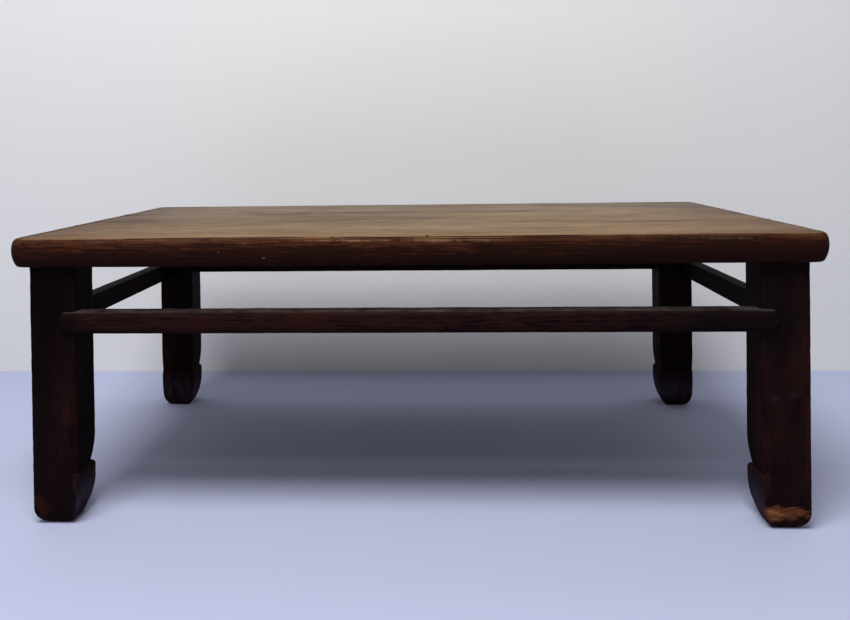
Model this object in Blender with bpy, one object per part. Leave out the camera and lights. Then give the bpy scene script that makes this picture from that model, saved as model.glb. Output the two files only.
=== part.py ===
# Low table with hoof feet: a three-board top, four legs and four lapped stretchers.
# Metres, +Z up, origin on the floor under the middle of the top, front towards -Y.

import math

import bmesh
import bpy
from mathutils import Vector

# Overall sizes
TABLE_LENGTH = 0.880
TABLE_WIDTH = 0.514
TABLE_HEIGHT = 0.316
FIT = 0.0003  # clearance between pieces that touch

# Top
TOP_THICKNESS = 0.032
CORNER_RADIUS = 0.022
EDGE_BULGE_HEIGHT = 0.018  # height of the widest line of the edge above the underside
EDGE_UNDERCUT = 0.0055  # how far the edge draws in at the underside
EDGE_SETBACK = 0.003  # how far the edge draws in at the upper face
UPPER_ARRIS = 0.0045
LOWER_ARRIS = 0.0018
FRONT_BOARD_WIDTH = 0.170
REAR_BOARD_WIDTH = 0.170
END_OVERHANG = 0.021
SIDE_OVERHANG = 0.014

# Pins between the boards
PIN_DIAMETER = 0.008
PIN_LENGTH = 0.040
PIN_SPACING = 0.270
PINS_PER_JOINT = 3
PIN_RISE = 0.017  # axis above the underside

# Battens under the top
BATTEN_SPACING = 0.420
BATTEN_WIDTH = 0.040
BATTEN_FLARE = 0.003  # dovetail, each side
BATTEN_DEPTH = 0.012  # into the boards
BATTEN_PROUD = 0.005  # below the boards
BATTEN_CHAMFER = 0.0015
BATTEN_MARGIN = 0.057  # from the edge of the top to the batten's end

# Legs
LEG_SECTION = 0.051
LEG_ARRIS = 0.0018
NOTCH_HEIGHT = 0.0565
NOTCH_DEPTH = 0.004
NOTCH_SWEEP = 0.034  # height over which the inner faces draw in to the notch
HOOF_SHOULDER = 0.006  # height of the rounded shoulder under the notch
HOOF_STRAIGHT = 0.0085  # straight part of the hoof's inner faces, under the shoulder
TOE_INSET = 0.011
HEEL_CURVE = 0.018  # height at which the outer faces start to curve in
HEEL_INSET = 0.0095
SOLE_ARRIS = 0.0015

# Leg tenons in the top, spread by a wedge
LEG_TENON = 0.024
LEG_TENON_LENGTH = 0.020
LEG_TENON_FLARE = 0.0012  # each side, at the tenon's end
KERF_START = 0.004  # root of the kerf above the shoulder
KERF_ROOT = 0.0012  # width
KERF_MOUTH = 0.0045  # width
WEDGE_TIP_GAP = 0.002  # left empty at the root of the kerf

# Stretchers
STRETCHER_DROP = 0.049  # front and rear upper faces below the underside of the top
SIDE_STRETCHER_STEP = 0.0035  # how much lower the side stretchers are
STRETCHER_RISE = 0.025
STRETCHER_DEPTH = 0.024
STRETCHER_PROUD = 0.005  # in front of the leg's outer face
STRETCHER_LAP = 0.0165  # over the leg's outer face
STRETCHER_CROWN = 0.007  # depth of the rounded outer side
STRETCHER_ARRIS = 0.0015
LAP_ROUNDING = 0.006
TENON_THICKNESS = 0.009
TENON_HEIGHT = 0.017
TENON_SHOULDER = 0.003  # behind the tenon
MORTISE_WALL = 0.004  # wood left between the two mortises of a leg

UNDERSIDE = TABLE_HEIGHT - TOP_THICKNESS
LEGS_LENGTH = TABLE_LENGTH - 2 * END_OVERHANG  # outside of the legs
LEGS_WIDTH = TABLE_WIDTH - 2 * SIDE_OVERHANG
STRETCHER_HEIGHT = UNDERSIDE - STRETCHER_DROP - STRETCHER_RISE  # front and rear, lower face above the floor
TENON_SETBACK = STRETCHER_DEPTH - STRETCHER_PROUD - TENON_SHOULDER - TENON_THICKNESS
TENON_LENGTH = LEG_SECTION - TENON_SETBACK - TENON_THICKNESS - MORTISE_WALL
HOOF_CURVE = NOTCH_HEIGHT - HOOF_SHOULDER - HOOF_STRAIGHT  # height of the hoof's curved part
CROWN_POWER = 2.8  # squareness of the stretchers' rounded side


def clear_scene():
    for obj in list(bpy.data.objects):
        bpy.data.objects.remove(obj, do_unlink=True)


def wood(name, color, roughness):
    material = bpy.data.materials.new(name)
    material.use_nodes = True
    shader = material.node_tree.nodes["Principled BSDF"]
    shader.inputs["Base Color"].default_value = (*color, 1)
    shader.inputs["Roughness"].default_value = roughness
    shader.inputs["Metallic"].default_value = 0
    return material


def arc_inset(run, depth, distance):
    """Inset of an arc that leaves a straight face and reaches depth after run."""
    if distance <= 0:
        return 0.0
    radius = (run**2 + depth**2) / (2 * depth)
    return radius - math.sqrt(max(radius**2 - distance**2, 0))


def steps(start, end, count):
    return [start + (end - start) * i / count for i in range(count + 1)]


def solid(name, rings):
    """Closed mesh through rings of equal length, capped at both ends."""
    mesh = bpy.data.meshes.new(name)
    shape = bmesh.new()
    loops = [[shape.verts.new(point) for point in ring] for ring in rings]
    for lower, upper in zip(loops, loops[1:]):
        for i in range(len(lower)):
            j = (i + 1) % len(lower)
            shape.faces.new((lower[i], lower[j], upper[j], upper[i]))
    shape.faces.new(reversed(loops[0]))
    shape.faces.new(loops[-1])
    bmesh.ops.recalc_face_normals(shape, faces=shape.faces)
    shape.to_mesh(mesh)
    shape.free()
    return mesh


def box(name, low, high):
    corners = [(low[0], low[1]), (high[0], low[1]), (high[0], high[1]), (low[0], high[1])]
    return solid(name, [[(x, y, z) for x, y in corners] for z in (low[2], high[2])])


def prism(name, outline, low, high):
    """Outline of (x, z) points run along Y."""
    return solid(name, [[(x, y, z) for x, z in outline] for y in (low, high)])


def combined(mesh, tool, operation):
    """Mesh after a Boolean with the tool's mesh, which is used up."""
    body = bpy.data.objects.new("body", mesh)
    cutter = bpy.data.objects.new("cutter", tool)
    for obj in (body, cutter):
        bpy.context.scene.collection.objects.link(obj)
    modifier = body.modifiers.new("Boolean", "BOOLEAN")
    modifier.operation = operation
    modifier.object = cutter
    graph = bpy.context.evaluated_depsgraph_get()
    result = bpy.data.meshes.new_from_object(body.evaluated_get(graph))
    result.name = mesh.name
    for obj in (body, cutter):
        bpy.data.objects.remove(obj)
    for used in (mesh, tool):
        bpy.data.meshes.remove(used)
    return result


def cut(mesh, tool):
    return combined(mesh, tool, "DIFFERENCE")


def join(mesh, tool):
    return combined(mesh, tool, "UNION")


def shade(mesh):
    mesh.shade_smooth()
    mesh.set_sharp_from_angle(angle=math.radians(32))


def place(name, mesh, material, location=(0, 0, 0), turn=0.0):
    """Object on the table's empty, turned about Z."""
    obj = bpy.data.objects.new(name, mesh)
    bpy.context.scene.collection.objects.link(obj)
    obj.location = location
    obj.rotation_euler = (0, 0, turn)
    obj.parent = bpy.data.objects["low_table"]
    if not mesh.materials:
        mesh.materials.append(material)
    return obj


# Top


def edge_inset(height):
    """How far the edge of the top is drawn in at a height above the underside."""
    if height < EDGE_BULGE_HEIGHT:
        inset = arc_inset(EDGE_BULGE_HEIGHT, EDGE_UNDERCUT, EDGE_BULGE_HEIGHT - height)
        inset += arc_inset(LOWER_ARRIS, LOWER_ARRIS, LOWER_ARRIS - height)
    else:
        upper = TOP_THICKNESS - EDGE_BULGE_HEIGHT
        inset = arc_inset(upper, EDGE_SETBACK, height - EDGE_BULGE_HEIGHT)
        inset += arc_inset(UPPER_ARRIS, UPPER_ARRIS, height - (TOP_THICKNESS - UPPER_ARRIS))
    return inset


def eased(start, end, count):
    """Steps that crowd towards the end, for an arc that turns flat there."""
    return [start + (end - start) * math.sin(math.pi / 2 * i / count) for i in range(count + 1)]


def rounded_rectangle(length, width, radius, corner_steps=8):
    points = []
    for quarter in range(4):
        x = (length / 2 - radius) * (1 if quarter in (0, 3) else -1)
        y = (width / 2 - radius) * (1 if quarter in (0, 1) else -1)
        for i in range(corner_steps + 1):
            angle = math.pi / 2 * (quarter + i / corner_steps)
            points.append((x + radius * math.cos(angle), y + radius * math.sin(angle)))
    return points


def top_ring(height):
    inset = edge_inset(height)
    outline = rounded_rectangle(TABLE_LENGTH - 2 * inset, TABLE_WIDTH - 2 * inset, CORNER_RADIUS - inset)
    return [(x, y, UNDERSIDE + height) for x, y in outline]


def whole_top():
    heights = list(reversed(eased(LOWER_ARRIS, 0, 3)))
    heights += steps(LOWER_ARRIS, EDGE_BULGE_HEIGHT, 5)[1:]
    heights += steps(EDGE_BULGE_HEIGHT, TOP_THICKNESS - UPPER_ARRIS, 3)[1:]
    heights += eased(TOP_THICKNESS - UPPER_ARRIS, TOP_THICKNESS, 5)[1:]
    return solid("top", [top_ring(height) for height in heights])


def batten_outline(grow):
    """Dovetail section in (x, z), with z from the underside."""
    half = BATTEN_WIDTH / 2 + grow
    flare = half + BATTEN_FLARE
    chamfer = BATTEN_CHAMFER
    return [
        (-half + chamfer, -BATTEN_PROUD),
        (half - chamfer, -BATTEN_PROUD),
        (half, -BATTEN_PROUD + chamfer),
        (half, 0),
        (flare, BATTEN_DEPTH + grow),
        (-flare, BATTEN_DEPTH + grow),
        (-half, 0),
        (-half, -BATTEN_PROUD + chamfer),
    ]


def batten(grow=0.0):
    reach = TABLE_WIDTH / 2 - BATTEN_MARGIN + grow
    return prism("batten", batten_outline(grow), -reach, reach)


def pin(grow=0.0, sides=16):
    radius = PIN_DIAMETER / 2 + grow
    angles = [2 * math.pi * i / sides for i in range(sides)]
    outline = [(radius * math.cos(angle), radius * math.sin(angle)) for angle in angles]
    return prism("edge_pin", outline, -PIN_LENGTH / 2 - grow, PIN_LENGTH / 2 + grow)


def moved(mesh, offset, turn=0.0):
    for vertex in mesh.vertices:
        x, y, z = vertex.co
        turned = (x * math.cos(turn) - y * math.sin(turn), x * math.sin(turn) + y * math.cos(turn), z)
        vertex.co = Vector(turned) + Vector(offset)
    return mesh


def pin_places(joint):
    middle = (PINS_PER_JOINT - 1) / 2
    return [((i - middle) * PIN_SPACING, joint, UNDERSIDE + PIN_RISE) for i in range(PINS_PER_JOINT)]


def tenon_outline(grow):
    """Spread leg tenon across its wedge, in (x, z), with z from the shoulder."""
    half = LEG_TENON / 2 + grow
    flare = half + LEG_TENON_FLARE
    return [(-half, -FIT), (half, -FIT), (flare, LEG_TENON_LENGTH + grow), (-flare, LEG_TENON_LENGTH + grow)]


def leg_tenon(grow=0.0):
    return prism("tenon", tenon_outline(grow), -LEG_TENON / 2 - grow, LEG_TENON / 2 + grow)


def leg_centre(side, face):
    x = side * (LEGS_LENGTH / 2 - LEG_SECTION / 2)
    y = face * (LEGS_WIDTH / 2 - LEG_SECTION / 2)
    return x, y


def board(name, low, high, material):
    """The part of the whole top between two joints, with its mortises, grooves and pin holes."""
    past = TABLE_LENGTH
    slab = box(name, (-past, low, UNDERSIDE - TOP_THICKNESS), (past, high, TABLE_HEIGHT + TOP_THICKNESS))
    mesh = combined(slab, whole_top(), "INTERSECT")
    for side in (-1, 1):
        mesh = cut(mesh, moved(batten(FIT), (side * BATTEN_SPACING / 2, 0, UNDERSIDE)))
        for face in (-1, 1):
            x, y = leg_centre(side, face)
            if low < y < high:
                mesh = cut(mesh, moved(leg_tenon(FIT), (x, y, UNDERSIDE)))
    for joint in board_joints():
        if low - FIT < joint < high + FIT:
            for spot in pin_places(joint):
                mesh = cut(mesh, moved(pin(FIT), spot))
    shade(mesh)
    place(name, mesh, material)


def board_joints():
    return -TABLE_WIDTH / 2 + FRONT_BOARD_WIDTH, TABLE_WIDTH / 2 - REAR_BOARD_WIDTH


def make_top(top_wood, inner_wood):
    front, rear = board_joints()
    board("top_board_front", -TABLE_WIDTH, front - FIT / 2, top_wood)
    board("top_board_middle", front + FIT / 2, rear - FIT / 2, top_wood)
    board("top_board_rear", rear + FIT / 2, TABLE_WIDTH, top_wood)
    pin_mesh = pin()
    shade(pin_mesh)
    for side, joint in (("front", front), ("rear", rear)):
        for number, spot in enumerate(pin_places(joint), start=1):
            place(f"edge_pin_{side}_{number}", pin_mesh, inner_wood, spot)
    batten_mesh = batten()
    for name, side in (("batten_left", -1), ("batten_right", 1)):
        place(name, batten_mesh, inner_wood, (side * BATTEN_SPACING / 2, 0, UNDERSIDE))


# Legs. In a leg's own frame its outer faces look to -X and -Y, and its axis is at the origin.


def inner_inset(height):
    """How far the two inner faces are drawn in at a height above the floor."""
    if height >= NOTCH_HEIGHT:
        return arc_inset(NOTCH_SWEEP, NOTCH_DEPTH, NOTCH_HEIGHT + NOTCH_SWEEP - height)
    shoulder = (height - (NOTCH_HEIGHT - HOOF_SHOULDER)) / HOOF_SHOULDER
    if shoulder > 0:
        return NOTCH_DEPTH * (1 - math.sqrt(1 - shoulder**2))
    return arc_inset(HOOF_CURVE, TOE_INSET, HOOF_CURVE - height)


def outer_inset(height):
    return arc_inset(HEEL_CURVE, HEEL_INSET, HEEL_CURVE - height)


def leg_ring(height, arris_steps=3):
    sole = arc_inset(SOLE_ARRIS, SOLE_ARRIS, SOLE_ARRIS - height)
    low = -LEG_SECTION / 2 + outer_inset(height) + sole
    high = LEG_SECTION / 2 - inner_inset(height) - sole
    side = high - low
    middle = (low + high) / 2
    outline = rounded_rectangle(side, side, LEG_ARRIS, arris_steps)
    return [(x + middle, y + middle, height) for x, y in outline]


def leg_heights():
    notch_top = NOTCH_HEIGHT + NOTCH_SWEEP
    shoulder = NOTCH_HEIGHT - HOOF_SHOULDER
    heights = list(reversed(eased(SOLE_ARRIS, 0, 3)))
    heights += steps(SOLE_ARRIS, HOOF_CURVE, 9)[1:]
    heights += eased(shoulder, NOTCH_HEIGHT, 5)
    heights += steps(NOTCH_HEIGHT, notch_top, 6)[1:]
    heights.append(UNDERSIDE - FIT)
    return heights


def mortise(step):
    """Space for a stretcher's tenon in a leg's frame, open along X at the inner face."""
    y = -LEG_SECTION / 2 + TENON_SETBACK
    z = STRETCHER_HEIGHT - step + (STRETCHER_RISE - TENON_HEIGHT) / 2
    inner = LEG_SECTION / 2
    low = (inner - TENON_LENGTH - FIT, y - FIT, z - FIT)
    return box("mortise", low, (inner + TENON_LENGTH, y + TENON_THICKNESS + FIT, z + TENON_HEIGHT + FIT))


def swapped(mesh):
    """Mirrored in the diagonal, so that a mortise in one inner face lands in the other."""
    for vertex in mesh.vertices:
        vertex.co.x, vertex.co.y = vertex.co.y, vertex.co.x
    mesh.flip_normals()
    return mesh


def kerf_outline(grow, root, end):
    """Wedge across the tenon in (x, z), from root to end above the shoulder."""
    slope = (KERF_MOUTH - KERF_ROOT) / 2 / (LEG_TENON_LENGTH - KERF_START)
    low = KERF_ROOT / 2 + slope * (root - KERF_START) + grow
    high = KERF_ROOT / 2 + slope * (end - KERF_START) + grow
    return [(-low, root), (low, root), (high, end), (-high, end)]


def leg(kerf_turn, step_along_x, step_along_y):
    mesh = solid("leg", [leg_ring(height) for height in leg_heights()])
    shoulder = (0, 0, UNDERSIDE - FIT)
    tenon = leg_tenon()
    past = LEG_SECTION
    kerf = prism("kerf", kerf_outline(0, KERF_START, LEG_TENON_LENGTH + FIT), -past, past)
    tenon = cut(tenon, kerf)
    mesh = join(mesh, moved(tenon, shoulder, kerf_turn))
    mesh = cut(mesh, mortise(step_along_x))
    mesh = cut(mesh, swapped(mortise(step_along_y)))
    shade(mesh)
    return mesh


def wedge(kerf_turn):
    reach = LEG_TENON / 2 - FIT
    outline = kerf_outline(-FIT, KERF_START + WEDGE_TIP_GAP, LEG_TENON_LENGTH)
    mesh = prism("tenon_wedge", outline, -reach, reach)
    return moved(mesh, (0, 0, 0), kerf_turn)


def make_legs(frame_wood, inner_wood):
    # A leg turned by a quarter has its wedge turned back, so that every tenon spreads along the grain,
    # and takes the side stretcher in its other mortise.
    corners = (
        ("front_left", -1, -1, 0),
        ("front_right", 1, -1, 1),
        ("rear_right", 1, 1, 2),
        ("rear_left", -1, 1, 3),
    )
    quarter = math.pi / 2
    legs = {0: leg(0, 0, SIDE_STRETCHER_STEP), 1: leg(quarter, SIDE_STRETCHER_STEP, 0)}
    wedges = {0: wedge(0), 1: wedge(quarter)}
    for corner, side, face, turns in corners:
        x, y = leg_centre(side, face)
        kind = turns % 2
        place(f"leg_{corner}", legs[kind], frame_wood, (x, y, 0), turns * quarter)
        shoulder = (x, y, UNDERSIDE - FIT)
        place(f"tenon_wedge_{corner}", wedges[kind], inner_wood, shoulder, turns * quarter)


# Stretchers. In a stretcher's own frame its length is along X, its outer side looks to -Y,
# the legs' outer faces are at y = 0 and its lower face is at z = 0.


def stretcher_section(squeeze, crown_steps=12):
    """Section in (y, z). Squeeze draws in the crown and the height, towards a lap's end."""
    rise = STRETCHER_RISE / 2 - squeeze
    middle = STRETCHER_RISE / 2
    crown = STRETCHER_CROWN - squeeze / 2
    root = STRETCHER_CROWN - STRETCHER_PROUD
    points = []
    for i in range(crown_steps + 1):
        angle = math.pi * (i / crown_steps - 0.5)
        across = abs(math.cos(angle)) ** (2 / CROWN_POWER)
        up = math.copysign(abs(math.sin(angle)) ** (2 / CROWN_POWER), angle)
        points.append((root - crown * across, middle + rise * up))
    back = STRETCHER_DEPTH - STRETCHER_PROUD
    points.append((back - STRETCHER_ARRIS, middle + rise))
    points.append((back, middle + rise - STRETCHER_ARRIS))
    points.append((back, middle - rise + STRETCHER_ARRIS))
    points.append((back - STRETCHER_ARRIS, middle - rise))
    return points


def stretcher(clear_span):
    """Bar between two legs, clear_span apart, with a lap and a tenon at each end."""
    lap_end = clear_span / 2 + STRETCHER_LAP
    rounding = [(LAP_ROUNDING * math.sin(angle), LAP_ROUNDING * (1 - math.cos(angle)))
                for angle in steps(0, math.radians(80), 5)]
    half = [(lap_end - LAP_ROUNDING + along, squeeze) for along, squeeze in rounding]
    stations = [(-x, squeeze) for x, squeeze in reversed(half)] + half
    mesh = solid("stretcher", [[(x, y, z) for y, z in stretcher_section(s)] for x, s in stations])
    for end in (-1, 1):
        shoulder = clear_span / 2 - FIT
        past = clear_span / 2 + LEG_SECTION
        low, high = sorted((end * shoulder, end * past))
        mesh = cut(mesh, box("behind lap", (low, -FIT, -LEG_SECTION), (high, LEG_SECTION, LEG_SECTION)))
        tenon_end = clear_span / 2 + TENON_LENGTH
        low, high = sorted((end * (shoulder - TENON_LENGTH), end * tenon_end))
        z = (STRETCHER_RISE - TENON_HEIGHT) / 2
        corner = (high, TENON_SETBACK + TENON_THICKNESS, z + TENON_HEIGHT)
        mesh = join(mesh, box("tenon", (low, TENON_SETBACK, z), corner))
    shade(mesh)
    return mesh


def make_stretchers(frame_wood):
    long_mesh = stretcher(LEGS_LENGTH - 2 * LEG_SECTION)
    short_mesh = stretcher(LEGS_WIDTH - 2 * LEG_SECTION)
    side_height = STRETCHER_HEIGHT - SIDE_STRETCHER_STEP
    sides = (
        ("stretcher_front", long_mesh, (0, -LEGS_WIDTH / 2, STRETCHER_HEIGHT), 0),
        ("stretcher_right", short_mesh, (LEGS_LENGTH / 2, 0, side_height), 1),
        ("stretcher_rear", long_mesh, (0, LEGS_WIDTH / 2, STRETCHER_HEIGHT), 2),
        ("stretcher_left", short_mesh, (-LEGS_LENGTH / 2, 0, side_height), 3),
    )
    for name, mesh, location, turns in sides:
        place(name, mesh, frame_wood, location, turns * math.pi / 2)


def main():
    clear_scene()
    table = bpy.data.objects.new("low_table", None)
    bpy.context.scene.collection.objects.link(table)
    top_wood = wood("top_wood", (0.20, 0.12, 0.065), 0.5)
    frame_wood = wood("frame_wood", (0.035, 0.016, 0.011), 0.5)
    inner_wood = wood("inner_wood", (0.27, 0.16, 0.085), 0.7)
    make_top(top_wood, inner_wood)
    make_legs(frame_wood, inner_wood)
    make_stretchers(frame_wood)


main()
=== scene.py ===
# Low table: a top of three boards on four hoof legs, with a lapped stretcher on each side.
# Metres, +Z up, front towards -Y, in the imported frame.

import math

import bmesh
import bpy
from mathutils import Matrix, Vector, kdtree


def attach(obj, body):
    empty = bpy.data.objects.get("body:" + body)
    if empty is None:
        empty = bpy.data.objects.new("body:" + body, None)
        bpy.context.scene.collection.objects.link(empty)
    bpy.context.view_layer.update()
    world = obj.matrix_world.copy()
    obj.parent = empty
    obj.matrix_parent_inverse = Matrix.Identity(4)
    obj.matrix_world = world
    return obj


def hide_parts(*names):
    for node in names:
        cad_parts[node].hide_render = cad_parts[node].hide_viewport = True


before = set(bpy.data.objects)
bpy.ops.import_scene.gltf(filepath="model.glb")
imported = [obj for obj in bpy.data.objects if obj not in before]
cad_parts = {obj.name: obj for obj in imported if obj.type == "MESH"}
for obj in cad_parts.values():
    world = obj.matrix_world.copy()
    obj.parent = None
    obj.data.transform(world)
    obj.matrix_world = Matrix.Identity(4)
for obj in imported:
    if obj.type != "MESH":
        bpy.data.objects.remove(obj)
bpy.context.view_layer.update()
print("frame loaded with", len(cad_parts), "nodes")

weld = 0.00001  # closer than this is one place
near = 0.0001  # close enough when selecting by place
facing = 0.9  # a normal that points along an axis
past = 0.004  # how far a cutter reaches out of the wood
arrisSteps = 3
quarterTurn = math.pi / 2


# ways of working that every piece uses

def makeActive(obj):
    bpy.ops.object.select_all(action="DESELECT")
    obj.select_set(True)
    bpy.context.view_layer.objects.active = obj


def startEdit(obj):
    makeActive(obj)
    bpy.ops.object.mode_set(mode="EDIT")
    selectAll()


def selectAll():
    bpy.ops.mesh.select_all(action="SELECT")


def endEdit():
    bpy.ops.object.mode_set(mode="OBJECT")


def pick(obj, kind, wanted):
    # selects vertices, edges or faces by place or normal
    bpy.ops.mesh.select_all(action="DESELECT")
    bpy.ops.mesh.select_mode(type=kind)
    shape = bmesh.from_edit_mesh(obj.data)
    items = {"VERT": shape.verts, "EDGE": shape.edges, "FACE": shape.faces}[kind]
    for item in items:
        item.select_set(bool(wanted(item)))
    shape.select_flush_mode()
    bmesh.update_edit_mesh(obj.data)


def extrude(*move):
    bpy.ops.mesh.extrude_region_move(TRANSFORM_OT_translate={"value": move})


def resize(factors, middle):
    bpy.ops.transform.resize(value=factors, center_override=middle)


def roundEdges(offset, segments, profile=0.5, **more):
    bpy.ops.mesh.bevel(affect="EDGES", offset=offset, segments=segments, profile=profile, **more)


def cutAcross(axis, places):
    normal = [float(axis == i) for i in range(3)]
    for place in places:
        selectAll()
        bpy.ops.mesh.bisect(plane_co=[place * n for n in normal], plane_no=normal)


def spread(low, high, step):
    # even places between two ends, ends left out
    count = max(1, round((high - low) / step))
    return [low + (high - low) * i / count for i in range(1, count)]


def stepped(start, end, count):
    return [start + (end - start) * i / count for i in range(1, count + 1)]


def eased(start, end, count):
    return [start + (end - start) * math.sin(quarterTurn * i / count) for i in range(1, count + 1)]


def applied(obj, kind, **values):
    makeActive(obj)
    modifier = obj.modifiers.new(kind.lower(), kind)
    for key, value in values.items():
        setattr(modifier, key, value)
    bpy.ops.object.modifier_apply(modifier=modifier.name)


def settle(obj):
    # place, turn and size go into the mesh
    makeActive(obj)
    bpy.ops.object.transform_apply(location=True, rotation=True, scale=True)


def copied(obj, name, place=(0, 0, 0), quarters=0):
    makeActive(obj)
    bpy.ops.object.duplicate()
    twin = bpy.context.object
    twin.name = twin.data.name = name
    twin.rotation_euler.z = quarters * quarterTurn
    twin.location = place
    settle(twin)
    return twin


def joined(objs, name):
    makeActive(objs[0])
    for obj in objs:
        obj.select_set(True)
    bpy.ops.object.join()
    objs[0].name = objs[0].data.name = name
    return objs[0]


def drop(*objs):
    for obj in objs:
        bpy.data.objects.remove(obj)


def cutOut(obj, cutter):
    applied(obj, "BOOLEAN", operation="DIFFERENCE", solver="EXACT", object=cutter)


def added(primitive, name, scale=(1, 1, 1), **values):
    # a primitive with its place, turn and size in the mesh
    bpy.ops.object.select_all(action="DESELECT")
    primitive(**values)
    obj = bpy.context.object
    obj.name = obj.data.name = name
    obj.scale = scale
    settle(obj)
    return obj


def block(name, low, high):
    # plain start or cutter, between two corners
    return added(bpy.ops.mesh.primitive_cube_add, name, [b - a for a, b in zip(low, high)],
                 size=1, location=[(a + b) / 2 for a, b in zip(low, high)])


def widenTop(obj, factor, middle, rise=0.0):
    # the upper face is pulled up and made wider along X
    startEdit(obj)
    pick(obj, "FACE", lambda f: f.normal.z > facing)
    if rise:
        extrude(0, 0, rise)
    resize((factor, 1, 1), middle)
    endEdit()


def tidyMesh(obj):
    startEdit(obj)
    bpy.ops.mesh.remove_doubles(threshold=weld)
    selectAll()
    bpy.ops.mesh.normals_make_consistent(inside=False)
    endEdit()


def arcInset(run, depth, distance):
    # inset of an arc that leaves a straight face and reaches depth after run
    if distance <= 0:
        return 0.0
    radius = (run ** 2 + depth ** 2) / (2 * depth)
    return radius - math.sqrt(max(radius ** 2 - distance ** 2, 0))


# wear, shared by every piece

wear = {
    "reach": 0.007,  # how far from an arris the wear attribute fades out
    "waveSize": 0.055,  # broad unevenness left by planing and shrinking
    "nickSize": 0.009,  # uneven rubbing along the arrises
    "finerShare": 1.5,  # faces are made finer round a dent, by its radius and a margin
    "finerMargin": 0.002,
    "finerCuts": 3,
    "spotEnd": 1.6,  # where a soft spot ends, in half sizes
    "levels": 2,
    "smoothAngle": 38,
}


def cloudTexture(name, size, depth):
    texture = bpy.data.textures.new(name, "CLOUDS")
    texture.noise_scale = size
    texture.noise_depth = depth
    return texture


broadWaves = cloudTexture("broadWaves", wear["waveSize"], 1)
arrisNicks = cloudTexture("arrisNicks", wear["nickSize"], 3)


def refine(obj):
    applied(obj, "SUBSURF", subdivision_type="SIMPLE", levels=wear["levels"], render_levels=wear["levels"])


def setValues(obj, name, values):
    obj.data.attributes.new(name, "FLOAT", "POINT").data.foreach_set("value", values)


def rub(obj, arris, waves, nicks, still=None):
    # wear attribute, then gentle waves and rubbed arrises, all of it inwards
    tree = kdtree.KDTree(len(arris))
    for i, place in enumerate(arris):
        tree.insert(place, i)
    tree.balance()
    broad = obj.vertex_groups.new(name="broad")
    rubbed = obj.vertex_groups.new(name="rubbed")
    values = []
    for i, vertex in enumerate(obj.data.vertices):
        values.append(max(0.0, 1 - tree.find(vertex.co)[2] / wear["reach"]))
        if still is None or not still(vertex.co):
            broad.add([i], 1.0, "REPLACE")
            if values[i] > 0:
                rubbed.add([i], values[i] ** 2, "REPLACE")
    setValues(obj, "wear", values)
    inwards = {"texture_coords": "LOCAL", "mid_level": 1.0}
    applied(obj, "DISPLACE", texture=broadWaves, strength=waves, vertex_group="broad", **inwards)
    applied(obj, "DISPLACE", texture=arrisNicks, strength=nicks, vertex_group="rubbed", **inwards)
    obj.vertex_groups.clear()


def dent(obj, places):
    # finer faces round the places, then the vertex nearest to each is pushed in with its neighbours
    def nearDent(face):
        middle = face.calc_center_median()
        return any((middle - Vector(place)).length < radius * wear["finerShare"] + wear["finerMargin"]
                   for place, radius, push in places)

    startEdit(obj)
    pick(obj, "FACE", nearDent)
    bpy.ops.mesh.subdivide(number_cuts=wear["finerCuts"])
    for place, radius, push in places:
        shape = bmesh.from_edit_mesh(obj.data)
        nearest = min(shape.verts, key=lambda v: (v.co - Vector(place)).length).co.copy()
        pick(obj, "VERT", lambda v: (v.co - nearest).length < weld)
        bpy.ops.transform.translate(value=push, use_proportional_edit=True,
                                    proportional_edit_falloff="SMOOTH", proportional_size=radius)
    endEdit()


def spotValues(obj, spots):
    # soft ellipsoids: middle, half sizes, strength
    values = [0.0] * len(obj.data.vertices)
    end = wear["spotEnd"]
    for middle, size, strength in spots:
        for i, vertex in enumerate(obj.data.vertices):
            offset = [(a - b) / c for a, b, c in zip(vertex.co, middle, size)]
            if max(offset) < end and min(offset) > -end:
                values[i] = max(values[i], strength * min(1.0, max(0.0, end - Vector(offset).length)))
    return values


def markSpots(obj, marks, kinds):
    for kind in kinds:
        setValues(obj, kind, spotValues(obj, marks.get(obj.name, {}).get(kind, ())))


def finished(obj, node, slot, *materials):
    # with two materials, the second one is for the upper face, short of its matt left end
    makeActive(obj)
    obj.data.materials.clear()
    for material in materials:
        obj.data.materials.append(material)
    for face in obj.data.polygons:
        onFace = face.normal.z > facing and face.center.x > -topWood["mattEnd"]
        face.material_index = int(len(materials) > 1 and onFace)
    bpy.ops.object.shade_smooth_by_angle(angle=math.radians(wear["smoothAngle"]))
    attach(obj, "root")
    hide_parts(node)


# camera, at the photograph's place

view = {
    "place": (0.03744, -1.16409, 0.40875),
    "turn": 2.828,  # degrees to the left
    "tilt": -0.723,
    "roll": -0.773,
    "lens": 36.531,
    "sensor": 36.0,
    "shift": (0.02706, -0.17786),
    "clip": (0.05, 50),
}


def makeCamera():
    data = bpy.data.cameras.new("camera")
    data.lens = view["lens"]
    data.sensor_width = view["sensor"]
    data.shift_x, data.shift_y = view["shift"]
    data.clip_start, data.clip_end = view["clip"]
    camera = bpy.data.objects.new("camera", data)
    bpy.context.scene.collection.objects.link(camera)
    turn = Matrix.Rotation(math.radians(view["turn"]), 3, "Z")
    tilt = Matrix.Rotation(math.radians(90 + view["tilt"]), 3, "X")
    roll = Matrix.Rotation(math.radians(view["roll"]), 3, "Z")
    camera.location = view["place"]
    camera.rotation_euler = (turn @ tilt @ roll).to_euler()
    bpy.context.scene.camera = camera


makeCamera()
print("camera set")


# top: one slab with a rounded edge, cut into three boards

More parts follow.
